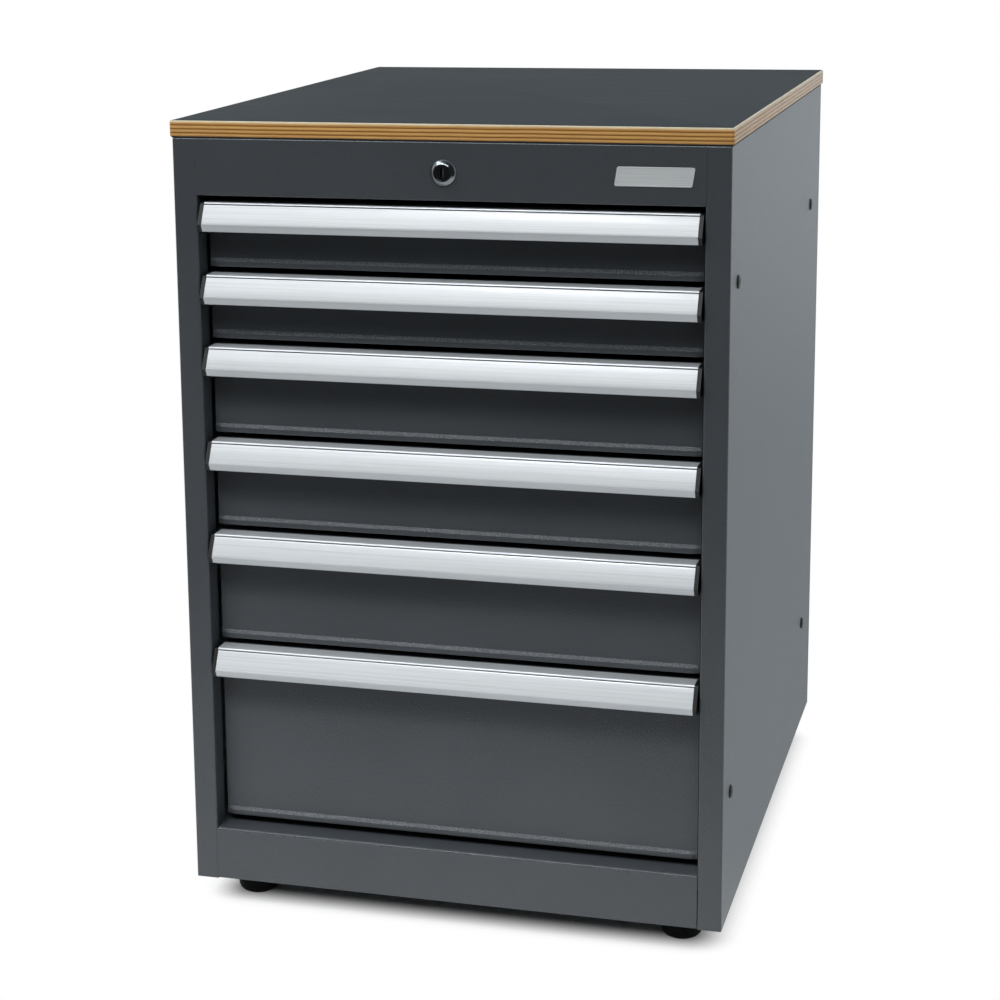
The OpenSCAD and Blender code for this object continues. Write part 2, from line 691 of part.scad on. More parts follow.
// Upright strip with the head for the crank's pin and an ear for each drawer, which are welded to its edges. Raised,
// the ears stand in front of the studs.
module lock_bar() color("silver") place() {
    slot = crank_pin_d / 2 + pin_play;
    rear = bar_y + bar_t;
    edge = bar_w / 2;
    head_z = pin_z - bar_head_h;
    block([-edge, bar_y, ear_top(drawer_count) - ear_h - bar_tail], [edge, rear, head_z - seam]);
    for (k = [1:drawer_count])
        block([edge + seam, bar_y, ear_top(k) - ear_h], [catch_x + catch_w / 2, rear, ear_top(k)]);
    difference() {
        block([-edge, bar_y, head_z], [crank_r + slot + bar_head_edge, rear, pin_z + bar_head_h]);
        block([pin_x - slot - past, bar_y - past, pin_z - slot], [crank_r + slot + past, rear + past, pin_z + slot]);
    }
}

// ---- feet ----

// Sign of the side and depth of each foot
foot_spots = [[-1, foot_inset_y], [1, foot_inset_y], [-1, body_d - foot_inset_y], [1, body_d - foot_inset_y]];

module at_foot(i) translate([foot_spots[i][0] * (body_w / 2 - foot_inset_x), foot_spots[i][1], 0]) children();

module at_feet() for (i = [0:3]) at_foot(i) children();

module foot(i) color("black") place() at_foot(i) {
    pad_r = foot_pad_d / 2;
    edge = foot_pad_edge;
    translate([0, 0, -foot_h]) {
        rotate_extrude() polygon([
            [0, 0], [pad_r - edge, 0], [pad_r, edge], [pad_r, foot_pad_h - 2 * edge],
            [pad_r - 2 * edge, foot_pad_h], [0, foot_pad_h]]);
        cylinder(d = foot_stud_d, h = foot_h + foot_stud_top);
    }
    translate([0, 0, plinth_lift - foot_nut_gap - foot_nut_h])
        cylinder(d = foot_nut_w / cos(30), h = foot_nut_h, $fn = 6);
}

module foot_front_left() foot(0);
module foot_front_right() foot(1);
module foot_rear_left() foot(2);
module foot_rear_right() foot(3);

left_side_panel();
right_side_panel();
back_panel();
base_panel();
top_panel();
front_top_rail();
worktop();
runner_uprights();
outer_runner_members();
side_hole_plugs();
lock_housing();
lock_plug();
lock_rod();
lock_bar();
foot_front_left();
foot_front_right();
foot_rear_left();
foot_rear_right();
for (k = [1:drawer_count]) {
    drawer_box(k);
    drawer_front(k);
    drawer_handle(k);
    drawer_end_caps(k);
    drawer_label_strip(k);
    drawer_inner_members(k);
    slide_middle_members(k);
}
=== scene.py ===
"""Small steel drawer cabinet: six drawers, aluminium grips, a plywood worktop, a central lock.

Lengths are millimetres in the tables and functions below, and metres in the meshes, textures and
surroundings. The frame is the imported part's: +Z up, the drawers face -Y, the origin is on the floor
under the middle of the bounding box.
"""
import math

import bmesh
import bpy
from mathutils import Matrix, Vector


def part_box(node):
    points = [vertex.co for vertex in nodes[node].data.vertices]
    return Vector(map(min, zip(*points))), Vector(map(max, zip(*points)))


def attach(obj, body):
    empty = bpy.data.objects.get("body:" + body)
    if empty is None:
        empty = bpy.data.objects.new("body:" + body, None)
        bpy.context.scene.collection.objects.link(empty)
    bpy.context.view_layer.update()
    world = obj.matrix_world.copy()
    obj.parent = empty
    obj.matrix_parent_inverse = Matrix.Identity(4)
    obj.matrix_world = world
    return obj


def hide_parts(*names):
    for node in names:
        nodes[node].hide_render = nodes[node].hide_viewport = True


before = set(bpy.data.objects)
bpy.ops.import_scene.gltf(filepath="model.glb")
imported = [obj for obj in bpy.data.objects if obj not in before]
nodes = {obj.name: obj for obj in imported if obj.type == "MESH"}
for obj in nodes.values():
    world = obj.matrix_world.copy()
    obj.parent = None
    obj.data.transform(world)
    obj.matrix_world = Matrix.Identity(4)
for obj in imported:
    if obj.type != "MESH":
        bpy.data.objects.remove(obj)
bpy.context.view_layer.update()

MM = 0.001
DRAWERS = range(1, 7)


# ---------------------------------------------------------------- node trees

def srgb(r, g, b):
    """Linear colour of an sRGB colour given in 0..255."""
    def linear(v):
        v /= 255
        return v / 12.92 if v <= 0.04045 else ((v + 0.055) / 1.055) ** 2.4
    return (linear(r), linear(g), linear(b), 1.0)


class Tree:
    """A short way to add nodes to the tree of a material or of the world."""

    def __init__(self, owner):
        owner.use_nodes = True
        self.tree = owner.node_tree
        self.tree.nodes.clear()

    def add(self, kind, **settings):
        node = self.tree.nodes.new(kind)
        for key, value in settings.items():
            setattr(node, key, value)
        return node

    def link(self, a, b):
        self.tree.links.new(a, b)

    def fill(self, socket, value):
        """Sets a socket to a plain value, or links another socket to it."""
        if isinstance(value, (int, float, tuple)):
            socket.default_value = value
        else:
            self.link(value, socket)

    def split(self, vector):
        """The X, Y and Z outputs of a vector."""
        node = self.add("ShaderNodeSeparateXYZ")
        self.link(vector, node.inputs[0])
        return node.outputs

    def range(self, value, low, high, to_low, to_high, kind="LINEAR"):
        node = self.add("ShaderNodeMapRange", interpolation_type=kind)
        for key, number in (("From Min", low), ("From Max", high),
                            ("To Min", to_low), ("To Max", to_high)):
            node.inputs[key].default_value = number
        self.link(value, node.inputs["Value"])
        return node.outputs["Result"]

    def math(self, operation, *values):
        node = self.add("ShaderNodeMath", operation=operation)
        for socket, value in zip(node.inputs, values):
            self.fill(socket, value)
        return node.outputs[0]

    def mix(self, factor, a, b):
        node = self.add("ShaderNodeMix", data_type="RGBA")
        for index, value in ((0, factor), (6, a), (7, b)):
            self.fill(node.inputs[index], value)
        return node.outputs[2]

    def mix_shader(self, factor, a, b):
        node = self.add("ShaderNodeMixShader")
        for index, socket in enumerate((factor, a, b)):
            self.link(socket, node.inputs[index])
        return node.outputs[0]


class Surface(Tree):
    """A material with one Principled shader, and textures in the piece's own coordinates."""

    SOCKETS = {"color": "Base Color", "rough": "Roughness", "metal": "Metallic",
               "spec": "Specular IOR Level", "coat": "Coat Weight",
               "coat_rough": "Coat Roughness"}

    def __init__(self, name):
        self.material = bpy.data.materials.new(name)
        super().__init__(self.material)
        self.output = self.add("ShaderNodeOutputMaterial")
        self.shader = self.add("ShaderNodeBsdfPrincipled")
        self.link(self.shader.outputs[0], self.output.inputs["Surface"])
        self.coords = self.add("ShaderNodeTexCoord").outputs["Object"]

    def set(self, **values):
        for key, value in values.items():
            self.fill(self.shader.inputs[self.SOCKETS[key]], value)

    def scaled(self, x, y, z):
        node = self.add("ShaderNodeMapping")
        node.inputs["Scale"].default_value = (x, y, z)
        self.link(self.coords, node.inputs["Vector"])
        return node.outputs[0]

    def noise(self, scale, detail=3.0, rough=0.5, vector=None):
        node = self.add("ShaderNodeTexNoise")
        node.inputs["Scale"].default_value = scale
        node.inputs["Detail"].default_value = detail
        node.inputs["Roughness"].default_value = rough
        self.link(vector or self.coords, node.inputs["Vector"])
        return node.outputs["Fac"]

    def spread(self, noise, low, high):
        """Stretches a noise, most of which lies between 0.3 and 0.7, to low..high."""
        return self.range(noise, 0.3, 0.7, low, high)

    def cells(self, scale, feature="F1"):
        node = self.add("ShaderNodeTexVoronoi", feature=feature)
        node.inputs["Scale"].default_value = scale
        self.link(self.coords, node.inputs["Vector"])
        return node.outputs["Distance"]

    def ramp(self, value, stops):
        node = self.add("ShaderNodeValToRGB")
        elements = node.color_ramp.elements
        while len(elements) < len(stops):
            elements.new(1.0)
        for element, (place, color) in zip(elements, stops):
            element.position = place
            element.color = color
        self.link(value, node.inputs["Fac"])
        return node.outputs["Color"]

    def bump(self, height, strength, distance, after=None):
        node = self.add("ShaderNodeBump")
        node.inputs["Strength"].default_value = strength
        node.inputs["Distance"].default_value = distance
        self.link(height, node.inputs["Height"])
        if after is not None:
            self.link(after, node.inputs["Normal"])
        self.link(node.outputs[0], self.shader.inputs["Normal"])
        return node.outputs[0]


# ---------------------------------------------------------------- materials

def powder_coat(name, color, dark, grain, rough=(0.42, 0.56), spec=0.5):
    """Baked powder paint: a fine pebbled skin, with slow changes of tone from the spray."""
    m = Surface(name)
    spray, fine = m.noise(6.0, 2.0), m.noise(2100.0, 2.0)
    m.set(color=m.mix(m.spread(spray, 0, 1), dark, color), rough=m.spread(fine, *rough), spec=spec)
    pebbles = m.bump(m.cells(820.0, feature="SMOOTH_F1"), grain, 0.0005)
    m.bump(m.noise(520.0, 2.0), 0.3, 0.0008, pebbles)
    return m.material


def fold_coat_with_painted_glints(name, color, light):
    """The same paint on a fold, its pebbles drawn out; light flecks on them are painted glints, a
    painted highlight in place of their glitter.
    """
    m = Surface(name)
    pebble = m.cells(1000.0)
    # light is the colour of the painted glints on the pebbles
    m.set(color=m.ramp(pebble, [(0.16, light), (0.5, color)]),
          rough=m.range(pebble, 0.1, 0.6, 0.2, 0.42), spec=0.5)
    m.bump(pebble, 0.8, 0.0004)
    return m.material


def plywood_edge(name, low, high):
    """Sealed edge of a plywood board from low to high: plies up its height, fibres along it, a
    painted highlight at its top.
    """
    m = Surface(name)
    waver = m.math("MULTIPLY", m.math("SUBTRACT", m.noise(14.0, 4.0), 0.5), 0.0011)
    z = m.split(m.coords)["Z"]
    height = m.range(m.math("ADD", z, waver), low, high, 0, 1)
    pale, mid, deep = srgb(246, 196, 124), srgb(228, 172, 98), srgb(204, 146, 76)
    line = srgb(104, 60, 24)
    # the two last stops, near white, are a painted highlight along the rounded upper edge
    plies_and_painted_highlight = [(0.00, pale), (0.06, pale), (0.10, line), (0.15, deep), (0.22, pale), (0.27, mid),
             (0.31, line), (0.36, deep), (0.43, pale), (0.49, mid), (0.53, line), (0.58, deep),
             (0.64, pale), (0.71, mid), (0.75, line), (0.80, deep), (0.86, mid),
             (0.90, srgb(252, 226, 176)), (1.00, srgb(254, 240, 208))]
    base = m.ramp(height, plies_and_painted_highlight)
    fibres = m.noise(1.0, 5.0, 0.6, m.scaled(34, 34, 900))
    base = m.mix(m.range(fibres, 0.35, 0.7, 0.0, 0.32), base, srgb(176, 120, 60))
    pores = m.noise(1.0, 3.0, 0.6, m.scaled(420, 420, 1500))
    base = m.mix(m.range(pores, 0.62, 0.75, 0.0, 0.5), base, srgb(96, 58, 26))
    m.set(color=base, rough=m.spread(fibres, 0.30, 0.46), spec=0.5)
    m.bump(fibres, 0.25, 0.0003)
    return m.material


def phenolic_film(name):
    """Dark resin film pressed on the board, faintly streaked along the cabinet's width."""
    m = Surface(name)
    streaks = m.noise(1.0, 5.0, 0.55, m.scaled(5, 46, 46))
    clouds = m.noise(3.2, 3.0)
    tone = m.math("ADD", m.math("MULTIPLY", streaks, 0.55), m.math("MULTIPLY", clouds, 0.45))
    m.set(color=m.ramp(tone, [(0.36, srgb(56, 61, 64)), (0.64, srgb(65, 70, 73))]),
          rough=m.spread(streaks, 0.56, 0.66), spec=0.02)
    m.bump(m.noise(900.0, 2.0), 0.12, 0.0003)
    return m.material


def metal(name, color, dark, rough, depth, grain=1.0, streak=None, metallic=1.0):
    """Bare or plated metal: grain is its noise's scale, streak that of drawn lines as (x, y, z)."""
    m = Surface(name)
    lines = m.noise(grain, 4.0, 0.6, m.scaled(*streak) if streak else None)
    m.set(color=m.mix(m.spread(lines, 0, 1), dark, color), rough=m.spread(lines, *rough),
          metal=metallic)
    m.bump(lines, depth, 0.0002)
    return m.material


def plastic(name, color, rough, depth=0.15, grain=1400.0, spec=0.5):
    """Moulded plastic with a fine eroded grain."""
    m = Surface(name)
    speck = m.noise(grain, 2.0)
    light = tuple(min(1.0, c * 1.25 + 0.002) for c in color[:3]) + (1.0,)
    m.set(color=m.mix(m.range(speck, 0.4, 0.7, 0, 1), color, light), rough=m.spread(speck, *rough),
          spec=spec)
    m.bump(speck, depth, 0.0002)
    return m.material


def label_paper(name):
    """Pearl-white card behind a clear strip, with faint draw lines along the strip."""
    m = Surface(name)
    lines = m.noise(1.0, 4.0, 0.6, m.scaled(3, 700, 700))
    m.set(color=m.ramp(lines, [(0.35, srgb(224, 226, 228)), (0.62, srgb(230, 232, 234))]),
          rough=m.spread(lines, 0.26, 0.3), spec=0.5, coat=0.6, coat_rough=0.14)
    m.bump(lines, 0.015, 0.0002)
    return m.material


PAINT = powder_coat("grey_powder_coat", srgb(76, 80, 84), srgb(71, 75, 79), 0.6,
                    rough=(0.32, 0.44), spec=0.62)
# paint of the fronts' hem slopes and the plinth's fold bead, with painted glints
FOLD_PAINTED_GLINTS = fold_coat_with_painted_glints("fold_coat_painted_glints", srgb(70, 74, 78), srgb(142, 147, 151))
# light grey with near-white flecks for the rail's top fold: a painted highlight line on an edge that
# lies in the board's shade
EDGE_PAINTED_HIGHLIGHT = fold_coat_with_painted_glints("edge_coat_painted_highlight", srgb(150, 155, 159), srgb(226, 230, 233))
DRAWER_PAINT = powder_coat("drawer_powder_coat", srgb(134, 137, 139), srgb(126, 129, 131), 0.22)
FILM = phenolic_film("phenolic_film")
ZINC = metal("zinc_plate", srgb(206, 210, 214), srgb(176, 181, 186), (0.26, 0.42), 0.10, grain=90.0)
GALVANISED = metal("sendzimir_sheet", srgb(190, 194, 198), srgb(150, 155, 160), (0.34, 0.5), 0.12,
                   grain=55.0)
ALUMINIUM = metal("anodised_aluminium", srgb(212, 215, 218), srgb(204, 207, 210), (0.32, 0.38),
                  0.02, streak=(2.5, 1600, 1600), metallic=0.35)
CHROME = metal("dark_chrome_plate", srgb(134, 137, 140), srgb(126, 129, 132), (0.07, 0.13), 0.02,
               grain=400.0)
BLACK = plastic("black_plastic", srgb(16, 16, 17), (0.34, 0.5), spec=0.3)
# dark grey for the walls of the grip's nose groove: painted shade where the groove's shadow falls
GROOVE_PAINTED_SHADE = plastic("groove_painted_shade", srgb(78, 80, 82), (0.5, 0.6))
RUBBER = plastic("foot_polyamide", srgb(5, 5, 6), (0.5, 0.7), depth=0.3, grain=900.0, spec=0.08)
LABEL = label_paper("label_card")
PLATE = metal("brushed_plate", srgb(232, 234, 234), srgb(216, 219, 219), (0.36, 0.46), 0.08,
              streak=(14, 1200, 1200), metallic=0.1)


# ---------------------------------------------------------------- mesh helpers

def make_object(name, verts, faces, materials, sharp=35.0):
    """A smooth-shaded object with its edges above the angle sharp kept."""
    mesh = bpy.data.meshes.new(name)
    mesh.from_pydata([Vector(v) for v in verts], [], faces)
    mesh.validate()
    clean = bmesh.new()
    clean.from_mesh(mesh)
    bmesh.ops.remove_doubles(clean, verts=clean.verts, dist=1e-6)
    bmesh.ops.recalc_face_normals(clean, faces=clean.faces)
    clean.to_mesh(mesh)
    clean.free()
    for material in materials if isinstance(materials, (list, tuple)) else [materials]:
        mesh.materials.append(material)
    mesh.shade_smooth()
    mesh.set_sharp_from_angle(angle=math.radians(sharp))
    piece = bpy.data.objects.new(name, mesh)
    bpy.context.scene.collection.objects.link(piece)
    return piece


def bevel(piece, width, segments=2, angle=30.0):
    """Rounds the edges sharper than angle."""
    modifier = piece.modifiers.new("edge", "BEVEL")
    modifier.width = width * MM
    modifier.segments = segments
    modifier.limit_method = "ANGLE"
    modifier.angle_limit = math.radians(angle)
    modifier.harden_normals = True
    modifier.use_clamp_overlap = True
    return piece


def place(piece, body, slot, *replaced):
    """Rides the piece on its body and hides the CAD nodes that it replaces. Its slot is not used."""
    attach(piece, body)
    if replaced:
        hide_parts(*replaced)
    return piece


def dress(node, material):
    """Gives a CAD node its material."""
    mesh = nodes[node].data
    mesh.materials.clear()
    mesh.materials.append(material)


def join_parts(parts):
    """One (verts, faces) pair of several."""
    verts, faces = [], []
    for v, f in parts:
        start = len(verts)
        verts += v
        faces += [[i + start for i in face] for face in f]
    return verts, faces


def ring_faces(rings, n):
    """Faces of a closed skin over so many rings of n points each, the two end faces last."""
    faces = []
    for s in range(rings - 1):
        for i in range(n):
            j = (i + 1) % n
            faces.append([s * n + i, s * n + j, (s + 1) * n + j, (s + 1) * n + i])
    return faces + [list(range(n))[::-1], [(rings - 1) * n + i for i in range(n)]]


def sweep_x(section, stations):
    """Solid along X: section(x) gives a closed outline of (y, z) at each station."""
    verts, n = [], 0
    for x in stations:
        outline = section(x)
        n = len(outline)
        verts += [(x * MM, y * MM, z * MM) for y, z in outline]
    return verts, ring_faces(len(stations), n)


def lathe(profile, matrix, segments=48):
    """Surface of revolution about +Z of a (radius, height) profile, closed where it meets it."""
    verts, faces, rings = [], [], []
    for r, h in profile:
        if r < 1e-6:
            rings.append([len(verts)])
            verts.append(matrix @ Vector((0, 0, h * MM)))
            continue
        rings.append(list(range(len(verts), len(verts) + segments)))
        for i in range(segments):
            angle = 2 * math.pi * i / segments
            point = Vector((r * MM * math.cos(angle), r * MM * math.sin(angle), h * MM))
            verts.append(matrix @ point)
    for a, b in zip(rings, rings[1:]):
        for i in range(segments):
            j = (i + 1) % segments
            loop = [a[i % len(a)], a[j % len(a)], b[j % len(b)], b[i % len(b)]]
            loop = [v for k, v in enumerate(loop) if v not in loop[:k]]
            if len(loop) > 2:
                faces.append(loop)
    return verts, faces


def block(low, high):
    """Closed box between two corners."""
    x0, y0, z0 = (v * MM for v in low)
    x1, y1, z1 = (v * MM for v in high)
    verts = [(x, y, z) for z in (z0, z1) for x, y in ((x0, y0), (x1, y0), (x1, y1), (x0, y1))]
    sides = [[i, (i + 1) % 4, 4 + (i + 1) % 4, 4 + i] for i in range(4)]
    return verts, [[3, 2, 1, 0], [4, 5, 6, 7]] + sides


def fillet(points, radii, steps=5):
    """A closed outline with corners rounded; radii gives a radius for each of their indices."""
    out = []
    for i, corner in enumerate(points):
        r = radii.get(i, 0)
        p = Vector(corner)
        if not r:
            out.append((p.x, p.y))
            continue
        a, b = Vector(points[i - 1]) - p, Vector(points[(i + 1) % len(points)]) - p
        cut = min(r / math.tan(a.angle(b) / 2), 0.49 * a.length, 0.49 * b.length)
        start, end = p + a.normalized() * cut, p + b.normalized() * cut
        for s in range(steps + 1):
            t = s / steps
            q = start * (1 - t) ** 2 + p * 2 * t * (1 - t) + end * t ** 2
            out.append((q.x, q.y))
    return out


# ---------------------------------------------------------------- sizes, as in the part

FRONT_Y = -360.0                # post faces
PANEL_Y = FRONT_Y + 24          # drawer fronts
HALF_W = 285.0                  # carcass
POST_X = HALF_W - 25            # inner edges of the posts
FOOT_H = 32.0                   # lower edge of the carcass
BASE_TOP = FOOT_H + 58
RAIL_TOP = FOOT_H + 800
RAIL_LOW = RAIL_TOP - 58
STACK_TOP = RAIL_LOW - 7        # upper edge of the highest front
LOCK_Z = RAIL_TOP - 30
PITCHES = (75, 75, 100, 100, 125, 200)
FRONT_GAP = 6
FRONT_DROP = 0.5                # from the handle's top face to the sheet's upper edge
SHEET = 1.2
FEET = {"foot_front_left": (-235, -303), "foot_front_right": (235, -303),
        "foot_rear_left": (-235, 308), "foot_rear_right": (235, 308)}


def front_top(k):
    return STACK_TOP - sum(PITCHES[:k - 1])


def front_bottom(k):
    return front_top(k) - PITCHES[k - 1] + FRONT_GAP


# ---------------------------------------------------------------- carcass

def dress_nodes():
    """Materials of the CAD nodes that stay, and rounded edges on those that show."""
    for name in ("left_side_panel", "right_side_panel", "back_panel", "base_panel", "top_panel",
                 "front_top_rail"):
        dress(name, PAINT)
        bevel(nodes[name], 0.35)
    dress("runner_uprights", GALVANISED)
    for name in ("outer_runner_members", "lock_rod", "lock_bar"):
        dress(name, ZINC)
    for k in DRAWERS:
        dress(f"slide_{k}_middle_members", ZINC)
        dress(f"drawer_{k}_inner_members", ZINC)
        dress(f"drawer_{k}_box", DRAWER_PAINT)
        dress(f"drawer_{k}_end_caps", BLACK)
        bevel(nodes[f"drawer_{k}_end_caps"], 0.5)


def build_weld_seams():
    """Ground-flush welds of the posts to the rail, and of the left one to the base."""
    half, proud, deep = 0.75, 0.03, 0.9
    seams = ((-POST_X, RAIL_LOW + 0.6, RAIL_TOP - 0.6), (POST_X, RAIL_LOW + 0.6, RAIL_TOP - 0.6),
             (-POST_X, FOOT_H + 2, BASE_TOP - 1))
    y0, y1 = FRONT_Y - proud, FRONT_Y + deep
    verts, faces = join_parts([block((x - half, y0, low), (x + half, y1, high))
                               for x, low, high in seams])
    place(make_object("front_weld_seams", verts, faces, PAINT), "cabinet", "carcass_paint")


def build_fold_bead(name, half, top, radius, proud, paint):
    """Thicker paint along a fold at the front, where it draws back from the edge."""
    centre_y, centre_z = FRONT_Y + radius - proud, top - radius + proud
    outline = [(centre_y - radius * math.cos(a), centre_z + radius * math.sin(a))
               for a in (math.radians(10 * i) for i in range(10))] + [(centre_y, centre_z)]
    bead = make_object(name, *sweep_x(lambda _: outline, [-half, half]), paint, sharp=30)
    place(bead, "cabinet", "carcass_paint")


def build_worktop():
    """Board with rounded corners and upper edge, a chamfered lower edge and film on its faces; the
    film's dark colour is also painted on the lowest 1.9 mm of the edge as a painted shadow line.
    """
    low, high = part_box("worktop")
    x1, y0, y1 = high[0] / MM, low[1] / MM, high[1] / MM
    z0, z1 = low[2] / MM, high[2] / MM
    corner, turn, painted_shadow_band = 3.0, 15, 1.9
    # inset and distance from the face, of the upper edge and the lower one
    upper = [(0.0, 1.3), (0.12, 0.7), (0.45, 0.25), (1.0, 0.05), (1.6, 0.0)]
    lower = [(3.2, 0.0), (2.4, 0.3), (0.5, 2.0), (0.1, 2.4), (0.0, 3.0)]
    rings = [(inset, z0 + depth) for inset, depth in lower]
    rings += [(inset, z1 - depth) for inset, depth in upper]

    def outline(inset):
        points = []
        for cx, cy, start in ((x1, y1, 0), (-x1, y1, 90), (-x1, y0, 180), (x1, y0, 270)):
            px, py = cx - math.copysign(corner, cx), cy - math.copysign(corner, cy)
            for angle in range(start, start + 91, turn):
                a = math.radians(angle)
                points.append((px + (corner - inset) * math.cos(a),
                               py + (corner - inset) * math.sin(a)))
        return points

    verts = [(x * MM, y * MM, z * MM) for inset, z in rings for x, y in outline(inset)]
    piece = make_object("worktop_board", verts, ring_faces(len(rings), len(outline(0))),
                        [plywood_edge("plywood_edge", low[2], high[2]), FILM], sharp=50)
    painted_shadow_top = (z0 + painted_shadow_band) * MM
    # faces below the band's top take the film's dark colour: a painted shadow line along the board's
    # lower edge
    for polygon in piece.data.polygons:
        flat = abs(polygon.normal.z) > 0.999
        polygon.material_index = 1 if flat or polygon.center.z < painted_shadow_top else 0
    place(piece, "cabinet", "worktop_plywood", "worktop")


def build_hole_plugs():
    """Snap-in plugs of the side panels: a domed head with a shallow dimple, and a barrel."""
    head = [(0, 1.1), (2.2, 1.15), (3.4, 1.55), (4.6, 1.95), (5.6, 1.9), (6.5, 1.45), (6.95, 0.7),
            (7.0, 0.0), (5.1, 0.0), (5.1, -3.4), (4.7, -4.0), (0, -4.0)]
    parts = []
    for side in (-1, 1):
        turn = Matrix.Rotation(math.radians(90 * side), 4, "Y")
        for y in (-312.0, 276.0):
            for z in (166.0, 695.0):
                spot = Matrix.Translation(Vector((side * HALF_W, y, z)) * MM)
                parts.append(lathe(head, spot @ turn, 32))
    plugs = make_object("hole_plugs", *join_parts(parts), BLACK, sharp=50)
    place(plugs, "cabinet", "black_plastic", "side_hole_plugs")


def build_plate():
    """Bare plate on the rail, with a raised rim round a brushed field."""
    x0, x1, z0, z1, slant = 171.0, 250.0, 792.5, 811.5, 3.0
    thick, rim, sunk = 0.9, 1.1, 0.3

    def outline(inset, radius):
        a, b, c, d = x0 + inset, x1 - inset - slant, z0 + inset, z1 - inset
        points = [(a, c), (b, c), (b + slant, d), (a + slant, d)]
        return fillet(points, {i: radius for i in range(4)}, 6)

    rings = [(outline(0, 2.2), 0.0), (outline(0, 2.2), thick - sunk), (outline(0.3, 2.0), thick),
             (outline(rim - 0.25, 1.5), thick), (outline(rim, 1.3), thick - sunk)]
    verts = [(x * MM, (FRONT_Y - out) * MM, z * MM) for points, out in rings for x, z in points]
    faces = ring_faces(len(rings), len(rings[0][0]))
    place(make_object("bare_plate", verts, faces, PLATE, sharp=40), "cabinet", "handle_aluminium")


# ---------------------------------------------------------------- drawer fronts

FRONT_HALF = 256.0
HEM_PROUD, HEM_TAPER = 2.4, 9.0     # the hem's step, and the length in which it ends at the sides


def front_section(k, proud):
    """Folded sheet of a drawer front: flat face, hem at the foot, folds at top and bottom."""
    depth, hem_h, lip, fold = 16.0, 5.5, 15.0, 2.0
    y, back = PANEL_Y, PANEL_Y + depth
    z0, z1 = front_bottom(k), front_top(k) - FRONT_DROP
    hem_y = y - proud
    step = z0 + hem_h + 1.6
    outline = [(y, z1), (y, step + 2.0), (hem_y, step - 1.4), (hem_y, z0), (back, z0),
               (back, z0 + lip), (back - SHEET, z0 + lip), (back - SHEET, z0 + SHEET),
               (hem_y + SHEET, z0 + SHEET), (hem_y + SHEET, step - 1.8), (y + SHEET, step + 1.6),
               (y + SHEET, z1 - SHEET), (back - fold, z1 - SHEET), (back - fold, z1)]
    return fillet(outline, {0: 1.4, 1: 1.2, 2: 1.6, 3: 1.4, 4: 1.4, 9: 0.8, 10: 1.0}, 6)


def build_front(k):
    def hem(x):
        t = min(1.0, max(0.0, (FRONT_HALF - abs(x)) / HEM_TAPER))
        return HEM_PROUD * (0.25 + 0.75 * t * t * (3 - 2 * t))

    ends = [FRONT_HALF - inset for inset in (0, 0.4, 1.5, 3, 4.5, 6, 7.5, HEM_TAPER, 20)]
    stations = [-x for x in ends] + [0.0] + ends[::-1]
    sheet = sweep_x(lambda x: front_section(k, hem(x)), stations)
    z0, z1 = front_bottom(k), front_top(k) - FRONT_DROP
    flange_x, half = FRONT_HALF - SHEET / 2, SHEET / 2
    flanges = [block((s * flange_x - half, PANEL_Y + 1.0, z0 + 0.8),
                     (s * flange_x + half, PANEL_Y + 14, z1 - 0.8)) for s in (-1, 1)]
    piece = make_object(f"front_{k}", *join_parts([sheet] + flanges), [PAINT, FOLD_PAINTED_GLINTS])
    hem_low, hem_high = (z0 + 4.0) * MM, (z0 + 10.5) * MM
    # the hem's sloping faces take the paint with painted glints
    for polygon in piece.data.polygons:
        normal = polygon.normal
        slope = (hem_low < polygon.center.z < hem_high
                 and normal.y < -0.1 and normal.z > 0.12)
        polygon.material_index = 1 if slope else 0
    place(piece, f"drawer_{k}", "carcass_paint", f"drawer_{k}_front")


# ---------------------------------------------------------------- handles

# The profile lies in (reach, height): reach runs forwards from the front, height up from its foot.
REACH, HANDLE_H, TOP_W, LIP_H, LIP_BACK, LEG_H, WALL = 31.0, 29.5, 19.0, 7.5, 4.0, 17.0, 1.8
GROOVE = 2.1                # from the nose to the shadow groove, along the face
GROOVE_DEEP, SHELF = -2.0, -0.8
CORNER, CREASE = Vector((TOP_W, HANDLE_H)), Vector((REACH, LIP_H))
ALONG = (CREASE - CORNER).normalized()
OUT = Vector((-ALONG.y, ALONG.x))
FACE_L = (CREASE - CORNER).length


def on_face(s, out):
    """Point of the profile at s along the sloping face, and out from it."""
    p = CORNER + ALONG * s + OUT * out
    return (p.x, p.y)


def handle_outline():
    """Flat top, rounded nose, groove, label channel, crease and lip, then back round the inside."""
    inner = WALL + 0.8
    inner_s = (WALL - OUT.y * inner) / -ALONG.y
    lip = REACH - LIP_BACK
    points = [(0, HANDLE_H), (TOP_W, HANDLE_H), on_face(GROOVE, 0), on_face(GROOVE, GROOVE_DEEP),
              on_face(GROOVE + 1, GROOVE_DEEP), on_face(GROOVE + 1, SHELF),
              on_face(FACE_L - 0.3, SHELF), tuple(CREASE), (lip, 0), (lip - WALL, 0),
              on_face(FACE_L, -inner), on_face(inner_s, -inner), (WALL, HANDLE_H - WALL),
              (WALL, HANDLE_H - LEG_H), (0, HANDLE_H - LEG_H)]
    radii = {1: 1.7, 2: 0.18, 7: 0.15, 8: 0.6, 9: 0.6, 10: 0.8, 11: 0.8, 12: 0.6}
    return fillet(points, radii, 4)


def on_front(profile, k):
    """A profile set on drawer k's front, as (y, z)."""
    foot = front_top(k) - HANDLE_H
    return [(PANEL_Y - reach, foot + height) for reach, height in profile]


